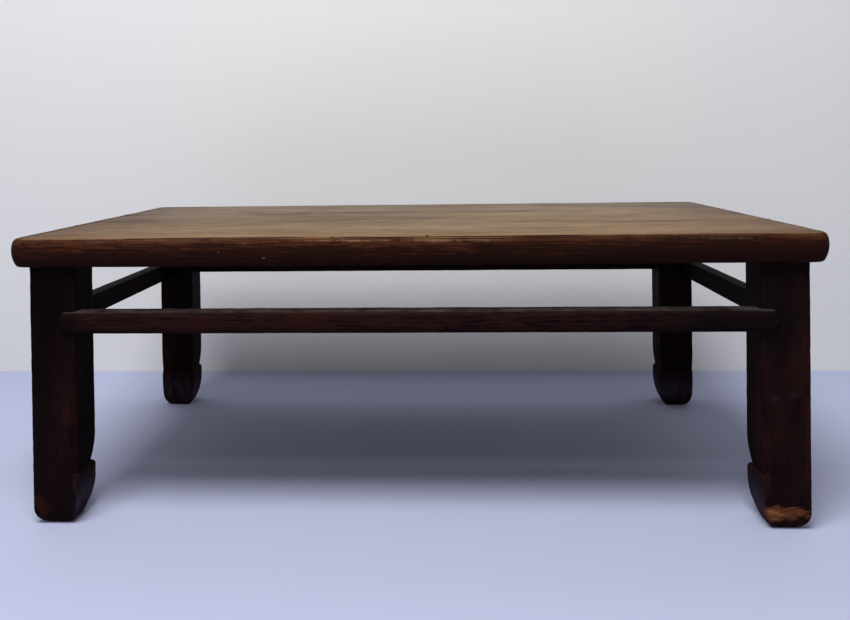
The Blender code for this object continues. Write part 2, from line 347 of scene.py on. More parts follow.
top = {
    "length": 0.88,
    "width": 0.514,
    "underside": 0.284,
    "thickness": 0.032,
    "corner": 0.022,
    "cornerSteps": 12,
    "bulgeHeight": 0.018,  # widest line of the edge, above the underside
    "undercut": 0.0055,
    "setback": 0.003,
    "upperArris": 0.0045,
    "lowerArris": 0.0018,
    "upSteps": (4, 7),  # to the arris, and round it
    "downSteps": (7, 4),
    "joint": 0.087,  # from the middle to the joints between the boards
    "fit": 0.0003,
    "jointArris": 0.0004,
    "jointSteps": 2,
    "jointRest": 0.002,  # this near to a joint the wood keeps its shape
    "gridLength": 0.02,
    "gridWidth": 0.011,
    "waves": 0.0005,
    "nicks": 0.0006,
}
upperFace = top["underside"] + top["thickness"]

joinery = {
    "battenSpacing": 0.42,
    "battenWidth": 0.04,
    "battenFlare": 0.003,
    "battenDepth": 0.012,
    "battenProud": 0.005,
    "battenReach": 0.2,
    "grooveDrop": 0.0005,  # the groove's cutter stands this much lower, so that the groove is open
    "pinRadius": 0.004,
    "pinSides": 24,
    "pinLength": 0.04,
    "pinSpacing": 0.27,
    "pinRise": 0.017,
    "tenon": 0.024,
    "tenonLength": 0.02,
    "tenonFlare": 0.0012,
}


def edgeInset(height):
    if height < top["bulgeHeight"]:
        inset = arcInset(top["bulgeHeight"], top["undercut"], top["bulgeHeight"] - height)
        return inset + arcInset(top["lowerArris"], top["lowerArris"], top["lowerArris"] - height)
    upper = top["thickness"] - top["bulgeHeight"]
    inset = arcInset(upper, top["setback"], height - top["bulgeHeight"])
    arrisStart = top["thickness"] - top["upperArris"]
    return inset + arcInset(top["upperArris"], top["upperArris"], height - arrisStart)


def halfSlab(name, heights, upwards):
    # rounded plate at the bulge, inset step by step to the face
    last = top["bulgeHeight"]
    slab = added(bpy.ops.mesh.primitive_plane_add, name, (top["length"], top["width"], 1),
                 size=1, location=(0, 0, top["underside"] + last))
    startEdit(slab)
    bpy.ops.mesh.bevel(affect="VERTICES", offset=top["corner"], segments=top["cornerSteps"], profile=0.5)
    selectAll()
    if not upwards:
        bpy.ops.mesh.flip_normals()
    for height in heights:
        bpy.ops.mesh.inset(thickness=edgeInset(height) - edgeInset(last), depth=abs(height - last))
        last = height
    endEdit()
    return slab


def modelSlab():
    halves = []
    for name, arrisStart, end, steps in (
            ("upper", top["thickness"] - top["upperArris"], top["thickness"], top["upSteps"]),
            ("lower", top["lowerArris"], 0, top["downSteps"])):
        heights = stepped(top["bulgeHeight"], arrisStart, steps[0]) + eased(arrisStart, end, steps[1])
        halves.append(halfSlab(name, heights, name == "upper"))
    slab = joined(halves, "slab")
    tidyMesh(slab)
    return slab


def grooveCutter(x):
    fit, under = top["fit"], top["underside"] - joinery["grooveDrop"]
    half = joinery["battenWidth"] / 2 + fit
    reach = joinery["battenReach"] + fit
    groove = block("groove", (x - half, -reach, under - joinery["battenProud"]), (x + half, reach, under))
    widenTop(groove, (half + joinery["battenFlare"]) / half, (x, 0, 0), joinery["battenDepth"] + fit)
    return groove


def tenonMortise(x, y):
    fit, under = top["fit"], top["underside"]
    half = joinery["tenon"] / 2 + fit
    space = block("mortise", (x - half, y - half, under - past), (x + half, y + half, under))
    widenTop(space, (half + joinery["tenonFlare"]) / half, (x, y, 0), joinery["tenonLength"] + fit)
    return space


def pinHole(x, y):
    return added(bpy.ops.mesh.primitive_cylinder_add, "pinHole", vertices=joinery["pinSides"],
                 radius=joinery["pinRadius"] + top["fit"], depth=joinery["pinLength"] + 2 * top["fit"],
                 location=(x, y, top["underside"] + joinery["pinRise"]), rotation=(quarterTurn, 0, 0))


def topCutters():
    spaces = []
    for side in (-1, 1):
        spaces.append(grooveCutter(side * joinery["battenSpacing"] / 2))
        spaces += [tenonMortise(side * leg["centre"][0], face * leg["centre"][1]) for face in (-1, 1)]
        spaces += [pinHole(i * joinery["pinSpacing"], side * top["joint"]) for i in (-1, 0, 1)]
    return joined(spaces, "topCutters")


def modelBoards():
    slab = modelSlab()
    cutters = topCutters()
    joint, fit = top["joint"], top["fit"] / 2
    halfLength, halfWidth = top["length"] / 2, top["width"] / 2
    limits = {
        "boardFront": (-halfWidth, -joint - fit),
        "boardMiddle": (-joint + fit, joint - fit),
        "boardRear": (joint + fit, halfWidth),
    }
    boards = []
    for name, (low, high) in limits.items():
        board = copied(slab, name)
        startEdit(board)
        faces = [y for y in (low, high) if abs(y) < halfWidth]
        for y in faces:
            selectAll()
            bpy.ops.mesh.bisect(plane_co=(0, y, 0), plane_no=(0, 1, 0), use_fill=True,
                                clear_inner=y == low, clear_outer=y == high)
        pick(board, "EDGE", lambda e: all(min(abs(v.co.y - y) for y in faces) < weld for v in e.verts))
        roundEdges(top["jointArris"], top["jointSteps"])
        endEdit()
        tidyMesh(board)
        cutOut(board, cutters)
        startEdit(board)
        cutAcross(0, spread(-halfLength, halfLength, top["gridLength"]))
        cutAcross(1, spread(low, high, top["gridWidth"]))
        endEdit()
        boards.append(board)
    drop(slab, cutters)
    return boards


# legs: square shafts with a notched hoof on the two inner faces

leg = {
    "centre": (0.3935, 0.2175),
    "section": 0.051,
    "arris": 0.0018,
    "notchHeight": 0.0565,
    "notchDepth": 0.004,
    "notchSweep": 0.034,
    "shoulder": 0.006,
    "hoofStraight": 0.0085,
    "toeInset": 0.011,
    "heelCurve": 0.018,
    "heelInset": 0.0095,
    "soleArris": 0.0015,
    "kerfStart": 0.004,
    "kerfRoot": 0.0012,
    "kerfMouth": 0.0045,
    "steps": (3, 12, 6, 8),  # sole, hoof, shoulder and sweep
    "gridHeight": 0.013,
    "gridAcross": 0.0092,
    "waves": 0.0004,
    "nicks": 0.0007,
}
legTop = top["underside"] - top["fit"]


def hoofInset(height):
    notch = leg["notchHeight"]
    if height >= notch:
        return arcInset(leg["notchSweep"], leg["notchDepth"], notch + leg["notchSweep"] - height)
    up = (height - notch + leg["shoulder"]) / leg["shoulder"]
    if up > 0:
        return leg["notchDepth"] * (1 - math.sqrt(1 - up ** 2))
    curve = notch - leg["shoulder"] - leg["hoofStraight"]
    return arcInset(curve, leg["toeInset"], curve - height)


def legLevels():
    notch, shoulder, sole = leg["notchHeight"], leg["notchHeight"] - leg["shoulder"], leg["soleArris"]
    soleSteps, hoofSteps, shoulderSteps, sweepSteps = leg["steps"]
    levels = [sole * (1 - math.cos(quarterTurn * i / soleSteps)) for i in range(soleSteps + 1)]
    levels += stepped(sole, shoulder - leg["hoofStraight"], hoofSteps)
    levels += [shoulder] + eased(shoulder, notch, shoulderSteps)
    return levels + stepped(notch, notch + leg["notchSweep"], sweepSteps) + [legTop]


def legSquare(height):
    # low and high side of the section, outer faces towards -X and -Y
    sole = arcInset(leg["soleArris"], leg["soleArris"], leg["soleArris"] - height)
    heel = arcInset(leg["heelCurve"], leg["heelInset"], leg["heelCurve"] - height)
    return heel + sole - leg["section"] / 2, leg["section"] / 2 - hoofInset(height) - sole


def modelLeg():
    # from the sole up: extrude, shift and scale level by level
    levels = legLevels()
    low, high = legSquare(levels[0])
    middle = (low + high) / 2
    shaft = added(bpy.ops.mesh.primitive_plane_add, "legShaft",
                  size=high - low, location=(middle, middle, levels[0]))
    for i in range(2):  # empty slots, so that the bevel can mark its faces
        shaft.data.materials.append(None)
    startEdit(shaft)
    for below, height in zip(levels, levels[1:]):
        newLow, newHigh = legSquare(height)
        slide = (newLow + newHigh) / 2 - middle
        middle += slide
        scale = (newHigh - newLow) / (high - low)
        extrude(slide, slide, height - below)
        resize((scale, scale, 1), (middle, middle, height))
        low, high = newLow, newHigh
    # tenon for the top
    bpy.ops.mesh.inset(thickness=(leg["section"] - joinery["tenon"]) / 2)
    extrude(0, 0, joinery["tenonLength"])
    selectAll()
    bpy.ops.mesh.normals_make_consistent(inside=False)
    # arrises, marked by a second material index for the wear
    pick(shaft, "EDGE", lambda e: abs((e.verts[0].co - e.verts[1].co).z) > near
         and max(v.co.z for v in e.verts) < legTop + near)
    roundEdges(leg["arris"], arrisSteps, material=1)
    endEdit()
    return shaft


def kerfCutter(x, y):
    low, high = legTop + leg["kerfStart"], legTop + joinery["tenonLength"] + past
    slope = (leg["kerfMouth"] - leg["kerfRoot"]) / (joinery["tenonLength"] - leg["kerfStart"])
    half, reach = leg["kerfRoot"] / 2, joinery["tenon"] / 2 + past
    kerf = block("kerf", (x - half, y - reach, low), (x + half, y + reach, high))
    widenTop(kerf, 1 + slope * (high - low) / leg["kerfRoot"], (x, y, high))
    return kerf


def legCutters(x, y):
    # mortises for the tenons of two stretchers, and the kerf of the wedge
    inner, fit = leg["section"] / 2, top["fit"]
    setback = inner - bar["tenonSetback"]
    across = (setback - bar["tenonThickness"] - fit, setback + fit)
    along = (-inner - past, bar["tenonLength"] + fit - inner)
    bottom = bar["height"] + (bar["rise"] - bar["tenonHeight"]) / 2
    cutters = [kerfCutter(x, y)]
    for spanX, spanY, lower in ((along, across, 0), (across, along, bar["sideStep"])):
        xs = sorted(x + math.copysign(1, x) * place for place in spanX)
        ys = sorted(y + math.copysign(1, y) * place for place in spanY)
        low, high = bottom - lower - fit, bottom - lower + bar["tenonHeight"] + fit
        cutters.append(block("mortise", (xs[0], ys[0], low), (xs[1], ys[1], high)))
    return joined(cutters, "legCutters")


def modelLegs():
    shaft = modelLeg()
    corners = {
        "legFrontLeft": (-1, -1, 0),
        "legFrontRight": (1, -1, 1),
        "legRearRight": (1, 1, 2),
        "legRearLeft": (-1, 1, 3),
    }
    legs = []
    for name, (sideX, sideY, quarters) in corners.items():
        x, y = sideX * leg["centre"][0], sideY * leg["centre"][1]
        one = copied(shaft, name, (x, y, 0), quarters)
        flare = 1 + 2 * joinery["tenonFlare"] / joinery["tenon"]
        end = legTop + joinery["tenonLength"]
        startEdit(one)
        pick(one, "VERT", lambda v: v.co.z > end - near)
        resize((flare, 1, 1), (x, y, end))
        endEdit()
        cutters = legCutters(x, y)
        cutOut(one, cutters)
        drop(cutters)
        startEdit(one)
        cutAcross(2, spread(leg["notchHeight"] + leg["notchSweep"], top["underside"], leg["gridHeight"]))
        half = leg["section"] / 2 - leg["arris"]
        cutAcross(0, spread(x - half, x + half, leg["gridAcross"]))
        cutAcross(1, spread(y - half, y + half, leg["gridAcross"]))
        endEdit()
        legs.append(one)
    drop(shaft)
    return legs


# stretchers: bars with a rounded outer side, lapped over the legs, with a blind tenon at each end

bar = {
    "clearLong": 0.736,
    "clearShort": 0.384,
    "outside": (0.419, 0.243),  # outer faces of the legs
    "height": 0.21,
    "sideStep": 0.0035,  # how much lower the side bars are
    "rise": 0.025,
    "depth": 0.024,
    "proud": 0.005,
    "lap": 0.0165,
    "crown": 0.007,
    "crownShare": 0.999,  # short of the full crown, so that both roundings stay apart
    "crownProfile": 0.61,  # squareness of the rounded side
    "crownSteps": 8,
    "arris": 0.0015,
    "lapRounding": 0.006,
    "lapAngle": 80,  # degrees that the rounding of an end turns through
    "lapSteps": 6,
    "tenonThickness": 0.009,
    "tenonHeight": 0.017,
    "tenonSetback": 0.007,
    "tenonLength": 0.031,
    "gridLength": 0.012,
    "gridDepth": 0.0125,
    "waves": 0.0004,
    "nicks": 0.0006,
}


def roundLaps(one, end):
    # rings near both ends are drawn in
    middle, rounding = bar["rise"] / 2, bar["lapRounding"]
    angles = [math.radians(bar["lapAngle"]) * i / bar["lapSteps"] for i in range(bar["lapSteps"] + 1)]
    places = [end - rounding * (1 - math.sin(a)) for a in angles[:-1]]
    for side in (-1, 1):
        cutAcross(0, [side * place for place in places])
        for place, angle in zip(places[1:] + [end], angles[1:]):
            inset = rounding * (1 - math.cos(angle))
            pick(one, "VERT", lambda v: abs(v.co.x - side * place) < near)
            resize((1, 1, 1 - inset / middle), (0, 0, middle))
            pick(one, "VERT", lambda v: abs(v.co.x - side * place) < near and v.co.y < 0)
            resize((1, 1 - inset / 2 / bar["proud"], 1), (0, 0, middle))


def modelBar(name, clear):
    # along X, outer side towards -Y, leg faces at y = 0, lower face at z = 0
    end = clear / 2 + bar["lap"]
    back = bar["depth"] - bar["proud"]
    middle = bar["rise"] / 2
    one = block(name, (-end, -bar["proud"], 0), (end, back, bar["rise"]))

    def lengthwise(edge, y):
        ends = [v.co for v in edge.verts]
        return all(abs(co.y - y) < near for co in ends) and abs(ends[0].x - ends[1].x) > clear

    startEdit(one)
    # the crown is an ellipse: squash, round both outer edges, then stretch back
    squash = bar["crown"] / middle
    resize((1, 1, squash), (0, 0, middle))
    pick(one, "EDGE", lambda e: lengthwise(e, -bar["proud"]))
    roundEdges(bar["crown"] * bar["crownShare"], bar["crownSteps"], bar["crownProfile"])
    selectAll()
    resize((1, 1, 1 / squash), (0, 0, middle))
    pick(one, "EDGE", lambda e: lengthwise(e, back))
    roundEdges(bar["arris"], arrisSteps)
    roundLaps(one, end)
    endEdit()
    tidyMesh(one)
    # behind the laps the bar stops at the legs, and its tenons go on
    fit = top["fit"]
    spaces = []
    for side in (-1, 1):
        low, high = sorted((side * (clear / 2 - fit), side * (end + past)))
        spaces.append(block("behindLap", (low, -fit, -past), (high, back + past, bar["rise"] + past)))
    behindLaps = joined(spaces, "behindLaps")
    cutOut(one, behindLaps)
    drop(behindLaps)
    startEdit(one)
    bottom = (bar["rise"] - bar["tenonHeight"]) / 2
    tenonY = (bar["tenonSetback"], bar["tenonSetback"] + bar["tenonThickness"])
    tenonZ = (bottom, bottom + bar["tenonHeight"])
    cutAcross(1, tenonY)
    cutAcross(2, tenonZ)

    def tenonRoot(face, side):
        place = face.calc_center_median()
        return (face.normal.x * side > facing and abs(abs(place.x) - clear / 2) < 2 * fit
                and tenonY[0] < place.y < tenonY[1] and tenonZ[0] < place.z < tenonZ[1])

    for side in (-1, 1):
        pick(one, "FACE", lambda f: tenonRoot(f, side))
        extrude(side * (bar["tenonLength"] + fit), 0, 0)
    cutAcross(0, spread(-clear / 2, clear / 2, bar["gridLength"]))
    cutAcross(1, [bar["gridDepth"]])
    endEdit()
    tidyMesh(one)
    return one


def modelBars():
    longBar = modelBar("longBar", bar["clearLong"])
    shortBar = modelBar("shortBar", bar["clearShort"])
    outX, outY = bar["outside"]
    low = bar["height"] - bar["sideStep"]
    bars = [
        copied(longBar, "stretcherFront", (0, -outY, bar["height"]), 0),
        copied(shortBar, "stretcherRight", (outX, 0, low), 1),
        copied(longBar, "stretcherRear", (0, outY, bar["height"]), 2),
        copied(shortBar, "stretcherLeft", (-outX, 0, low), 3),
    ]
    drop(longBar, shortBar)
    return bars


# node helpers for the wood: a node goes into the tree that its inputs come from

def feed(socket, value):
    # a socket takes a link or a plain value, and a colour gets its alpha here
    if isinstance(value, bpy.types.NodeSocket):
        socket.id_data.links.new(value, socket)
    elif socket.type == "RGBA":
        socket.default_value = (*value, 1)
    else:
        socket.default_value = value


def addNode(kind, inputs, **settings):
    tree = next(value.id_data for value in inputs.values() if isinstance(value, bpy.types.NodeSocket))
    node = tree.nodes.new(kind)
    for key, value in settings.items():
        setattr(node, key, value)
    for key, value in inputs.items():
        feed(node.inputs[key], value)
    return node


def calc(operation, *values):
    return addNode("ShaderNodeMath", dict(enumerate(values)), operation=operation).outputs[0]


def vectorCalc(operation, *values, output="Vector"):
    return addNode("ShaderNodeVectorMath", dict(enumerate(values)), operation=operation).outputs[output]


def alongAxes(vector):
    return addNode("ShaderNodeSeparateXYZ", {0: vector}).outputs


def times(value, *others):
    for other in others:
        value = calc("MULTIPLY", value, other)
    return value


def weighted(*terms, plus=0.0):
    # sum of values, each with its weight
    for value, weight in terms:
        plus = calc("MULTIPLY_ADD", value, weight, plus)
    return plus


def noise(vector, scales, detail=2.0, roughness=0.5, distortion=0.0):
    inputs = {"Vector": vectorCalc("MULTIPLY", vector, scales), "Scale": 1.0,
              "Detail": detail, "Roughness": roughness, "Distortion": distortion}
    return addNode("ShaderNodeTexNoise", inputs).outputs[0]


def between(value, low, high):
    # 0 below low, 1 above high, smooth between
    inputs = {"Value": value, "From Min": low, "From Max": high}
    return addNode("ShaderNodeMapRange", inputs, interpolation_type="SMOOTHSTEP").outputs[0]


def within(value, start, end, fadeIn, fadeOut):
    # 1 between two places, with a soft start and end
    return calc("SUBTRACT", between(value, start, start + fadeIn), between(value, end - fadeOut, end))


def thinLine(distance, inner, outer):
    # 1 on the line, 0 beside it
    return calc("SUBTRACT", 1.0, between(calc("ABSOLUTE", distance), inner, outer))


def blended(factor, first, second, how="MIX"):
    inputs = {0: factor, 6: first, 7: second}
    return addNode("ShaderNodeMix", inputs, data_type="RGBA", blend_type=how).outputs[2]


def layered(colour, looks, layers):
    for factor, name in layers:
        colour = blended(factor, colour, looks[name])
    return colour


def colourRamp(factor, stops):
    node = addNode("ShaderNodeValToRGB", {0: factor})
    points = node.color_ramp.elements
    for i, (place, colour) in enumerate(stops):
        point = points[i] if i < 2 else points.new(place)
        point.position = place
        point.color = (*colour, 1)
    return node.outputs[0]


def startGroup(name, inputs, outputs):
    group = bpy.data.node_groups.new(name, "ShaderNodeTree")
    for socket, kind in inputs.items():
        group.interface.new_socket(name=socket, in_out="INPUT", socket_type="NodeSocket" + kind)
    for socket in outputs:
        group.interface.new_socket(name=socket, in_out="OUTPUT", socket_type="NodeSocketFloat")
    return group, group.nodes.new("NodeGroupInput").outputs, group.nodes.new("NodeGroupOutput").inputs


def useGroup(group, **values):
    return addNode("ShaderNodeGroup", values, node_tree=group).outputs


# shared effects: grain along X, rubbed arrises, uneven stain and settled dust
# a noise is given by its scales along the axes, detail, roughness and distortion

effects = {
    "drift": ((1.4, 7, 7), 2),  # how the rings wander, and how far
    "driftReach": 0.035,
    "wobble": ((12, 70, 70), 2),
    "wobbleReach": 0.003,
    "lateWood": (0.35, 0.93),  # darkening part of a ring, and its sudden end
    "ringEnd": (0.94, 1.0),
    "streaks": ((5, 240, 240), 5, 0.62),
    "dashes": ((34, 1300, 1300), 1.5),
    "pores": (0.56, 0.7),
    "rubFine": ((170, 170, 170), 4, 0.6),
    "rubBroad": ((19, 19, 19), 2),
    "rubShares": (0.8, 1.0, -0.9),  # fine, broad and plain
    "rubLevel": (0.5, 0.95),
    "rubStart": (0.02, 0.3),
    "stainBroad": ((5, 17, 17), 3, 0.55),
    "stainSmudge": ((24, 80, 80), 4, 0.6, 0.4),
    "dustPatches": ((35, 35, 35), 4, 0.65),
    "dustLevel": (0.25, 0.75),
    "dustSlope": (0.55, 0.98),  # how flat a face is that keeps dust
}


def grainGroup():
    group, given, out = startGroup("woodGrain", {
        "Vector": "Vector", "Pith": "Vector", "RingSpacing": "Float", "Seed": "Float",
    }, ("Rings", "Streaks", "Pores"))
    moved = vectorCalc("ADD", given["Vector"], given["Seed"])
    across = vectorCalc("MULTIPLY", vectorCalc("SUBTRACT", given["Vector"], given["Pith"]), (0, 1, 1))
    radius = weighted((noise(moved, *effects["drift"]), effects["driftReach"]),
                      (noise(moved, *effects["wobble"]), effects["wobbleReach"]),
                      plus=vectorCalc("LENGTH", across, output="Value"))
    phase = calc("FRACT", calc("DIVIDE", radius, given["RingSpacing"]))
    stillGrows = calc("SUBTRACT", 1.0, between(phase, *effects["ringEnd"]))
    feed(out["Rings"], times(between(phase, *effects["lateWood"]), stillGrows))
    feed(out["Streaks"], noise(moved, *effects["streaks"]))
    feed(out["Pores"], between(noise(moved, *effects["dashes"]), *effects["pores"]))
    return group


def rubbedGroup():
    group, given, out = startGroup("rubbedArris", {
        "Vector": "Vector", "Wear": "Float", "Amount": "Float",
    }, ("Mask",))
    fineShare, broadShare, plain = effects["rubShares"]
    level = weighted((noise(given["Vector"], *effects["rubFine"]), fineShare),
                     (noise(given["Vector"], *effects["rubBroad"]), broadShare),
                     (given["Wear"], given["Amount"]), plus=plain)
    touched = between(given["Wear"], *effects["rubStart"])
    feed(out["Mask"], times(between(level, *effects["rubLevel"]), touched))
    return group


def stainGroup():
    group, given, out = startGroup("unevenStain", {"Vector": "Vector"}, ("Broad", "Smudge"))
    feed(out["Broad"], noise(given["Vector"], *effects["stainBroad"]))
    feed(out["Smudge"], noise(given["Vector"], *effects["stainSmudge"]))
    return group


def dustGroup():
    group, given, out = startGroup("settledDust", {"Vector": "Vector", "Normal": "Vector"}, ("Mask",))
    up = alongAxes(given["Normal"])[2]
    patches = noise(given["Vector"], *effects["dustPatches"])
    feed(out["Mask"], times(between(up, *effects["dustSlope"]), between(patches, *effects["dustLevel"])))
    return group


woodGrain = grainGroup()
rubbedArris = rubbedGroup()
unevenStain = stainGroup()
settledDust = dustGroup()

alongX, alongY, alongZ = (0, 0, 0), (0, 0, -quarterTurn), (0, quarterTurn, 0)


def startMaterial(name, turn):
    # object coordinates, plain and turned so that the grain runs along X
    material = bpy.data.materials.new(name)
    material.use_nodes = True
    coords = material.node_tree.nodes.new("ShaderNodeTexCoord").outputs["Object"]
    turned = addNode("ShaderNodeMapping", {"Vector": coords, "Rotation": turn}).outputs[0]
    return material, material.node_tree, coords, turned


def woodPatterns(turned, pith, rings, seed):
    grain = useGroup(woodGrain, Vector=turned, Pith=pith, RingSpacing=rings, Seed=seed)
    stain = useGroup(unevenStain, Vector=turned)
    return {socket.name: socket for socket in (*grain, *stain)}


def mixture(patterns, shares, plus=0.0):
    return weighted(*((patterns[name], share) for name, share in shares.items()), plus=plus)


def faceNormal(tree):
    return tree.nodes.new("ShaderNodeNewGeometry").outputs["Normal"]


def attribute(tree, name):
    node = tree.nodes.new("ShaderNodeAttribute")
    node.attribute_name = name
    return node.outputs["Fac"]


def finishSurface(material, colour, roughness, gloss, height, relief):
    bump = addNode("ShaderNodeBump", {"Strength": relief[0], "Distance": relief[1], "Height": height})
    shader = material.node_tree.nodes["Principled BSDF"]
    for name, value in (("Base Color", colour), ("Roughness", roughness),
                        ("Specular IOR Level", gloss), ("Normal", bump.outputs[0])):
        feed(shader.inputs[name], value)


# top wood: worn pale on the upper face, darker and redder round the edge, raw underneath

topWood = {
    "pithHeight": 0.1,
    "rings": 0.0042,
    "faceMix": {"Rings": 0.104, "Streaks": 0.546, "Broad": 0.5, "Smudge": 0.5},
    "faceLevel": -0.125,
    "face": ((0.48, (0.258, 0.178, 0.101)), (0.68, (0.191, 0.123, 0.068)), (0.92, (0.098, 0.057, 0.033))),
    "slopeEnds": (-0.1, 0.25),  # a board gets lighter between these
    "darkEnds": (0.28, 0.43, (0.72, 0.67, 0.71)),  # from, to and tint
    "leftBorder": (0.418, 0.428, (0.605, 0.511, 0.375)),  # darkest along the arrises of the ends
    "rightBorder": (0.423, 0.431, (0.74, 0.78, 0.89)),
    "frontStrip": (0.15, 0.25, (1.0, 0.9, 0.79)),
    "mattEnd": 0.424,  # from here the left end has lost its sheen
    "threads": ((11, 560, 560), 3, 0.6),
    "flecks": ((60, 560, 560), 4, 0.62),
    "edgeMix": {"Threads": 0.75, "Flecks": 0.6, "Smudge": 0.4,
                "Height": -0.3, "Right": 0.13, "RightEnd": -0.09},
    "edgeLevel": 0.165,
    "edgeRight": (0.1, 0.3),
    "edgeRightEnd": (0.37, 0.43),
    "edge": ((0.69, (0.058, 0.0182, 0.0088)), (0.83, (0.0252, 0.0083, 0.005)),
             (0.97, (0.016, 0.006, 0.0046))),
    "edgeStart": (0.1, 0.3),  # share of the arris where the face turns into the edge
    "edgeRagged": 0.12,
    "edgeGloss": 0.008,
    "rub": 0.8,
    "rim": (0.182, 0.095, 0.048),
    "rimThreads": (0.4, 0.58),
    "rimShares": (0.7, 0.28),  # more along the middle, and everywhere
    "rimMiddle": (-0.21, 0.15, 0.12, 0.1),
    # dark of dirt, also painted as shade in the dents
    "dirtAndShade": (0.012, 0.007, 0.005),
    "poreDirt": 0.45,
    "jointLine": (0.0003, 0.0012),
    "jointDirt": 0.5,
    "jointSmudge": (0.35, 0.65),
    # range of the dent marks, which are dirt with painted shade
    "open": (0.25, 0.9),
    "cracks": ((0.3146, -0.085, 0.196, 1.0),  # on the front arris: height, ends, strength
               (0.3128, -0.085, 0.196, 1.0),
               (0.3147, -0.32, -0.1, 0.9)),
    "crackLine": (0.0002, 0.0007),
    "crackFade": (0.02, 0.03),
    "crackWaver": 0.003,
    "crackReach": 0.02,
    "chip": (0.36, 0.26, 0.18),
    "chipLevel": (0.3, 0.8),
    "under": (0.045, 0.029, 0.021),
    "underSlope": (0.92, 0.99),
    "sheen": {"Broad": 0.22, "Pores": 0.2},
    "roughness": 0.36,
    "heights": {"Streaks": 0.5, "Pores": -1.0},
    "relief": (0.5, 0.0004),
}


def upperColour(patterns, place, tone, slope):
    level = mixture(patterns, topWood["faceMix"], topWood["faceLevel"])
    face = blended(1.0, colourRamp(level, topWood["face"]), tone, "MULTIPLY")
    # lighter towards the right: partly painted light, evening out the lamp from the left
    rightwards = between(place[0], *topWood["slopeEnds"])
    face = blended(1.0, face, weighted((rightwards, 2 * slope), plus=1 - slope), "MULTIPLY")
    for name, distance in (("darkEnds", calc("ABSOLUTE", place[0])), ("leftBorder", times(place[0], -1.0)),
                           ("rightBorder", place[0]), ("frontStrip", times(place[1], -1.0))):
        start, end, tint = topWood[name]
        face = blended(between(distance, start, end), face, tint, "MULTIPLY")
    return face


def edgeColour(patterns, place, rubbed):
    # darker towards the underside, with an arris that is rubbed most along the middle
    patterns["Height"] = between(place[2], top["underside"], upperFace)
    patterns["Right"] = between(place[0], *topWood["edgeRight"])
    patterns["RightEnd"] = between(place[0], *topWood["edgeRightEnd"])
    level = mixture(patterns, topWood["edgeMix"], topWood["edgeLevel"])
    middleShare, plain = topWood["rimShares"]
    middle = within(place[0], *topWood["rimMiddle"])
    rim = times(rubbed, between(patterns["Threads"], *topWood["rimThreads"]),
                weighted((middle, middleShare), plus=plain))
    return blended(rim, colourRamp(level, topWood["edge"]), topWood["rim"])


def crackLayers(patterns, place):
    atFront = calc("LESS_THAN", place[1], topWood["crackReach"] - top["width"] / 2)
    waver = topWood["crackWaver"]
    layers = []
    for height, start, end, strength in topWood["cracks"]:
        off = weighted((place[2], 1.0), (patterns["Broad"], waver), plus=-height - waver / 2)
        crack = times(thinLine(off, *topWood["crackLine"]), atFront, strength,
                      within(place[0], start, end, *topWood["crackFade"]))
        layers.append((crack, "dirtAndShade"))
    return layers


def boardWood(name, gloss, seed, pith, tone, slope):
    material, tree, coords, turned = startMaterial(name, alongX)
    patterns = woodPatterns(turned, (0, pith, topWood["pithHeight"]), topWood["rings"], seed)
    patterns["Threads"] = noise(turned, *topWood["threads"])
    patterns["Flecks"] = noise(turned, *topWood["flecks"])
    place, normal = alongAxes(coords), alongAxes(faceNormal(tree))
    rubbed = useGroup(rubbedArris, Vector=coords, Wear=attribute(tree, "wear"), Amount=topWood["rub"])
    ragged = topWood["edgeRagged"]
    turn = weighted((attribute(tree, "edge"), 1.0), (patterns["Flecks"], ragged), plus=-ragged / 2)
    colour = blended(between(turn, *topWood["edgeStart"]), upperColour(patterns, place, tone, slope),
                     edgeColour(patterns, place, rubbed["Mask"]))
    # dirt in pores, joints and cracks, dirt with painted shade in the dents, bare chips, and the raw underside
    offJoint = calc("SUBTRACT", calc("ABSOLUTE", place[1]), top["joint"])
    joint = times(thinLine(offJoint, *topWood["jointLine"]), topWood["jointDirt"],
                  between(patterns["Smudge"], *topWood["jointSmudge"]))
    colour = layered(colour, topWood, (
        (times(patterns["Pores"], topWood["poreDirt"]), "dirtAndShade"),
        (calc("MAXIMUM", joint, between(attribute(tree, "open"), *topWood["open"])), "dirtAndShade"),
        *crackLayers(patterns, place),
        (between(attribute(tree, "bare"), *topWood["chipLevel"]), "chip"),
        (between(times(normal[2], -1.0), *topWood["underSlope"]), "under")))
    roughness = mixture(patterns, topWood["sheen"], topWood["roughness"])
    height = mixture(patterns, topWood["heights"])
    finishSurface(material, colour, roughness, gloss, height, topWood["relief"])
    return material


# frame wood: almost black stain, redder where it is thin, rubbed to bare wood in places

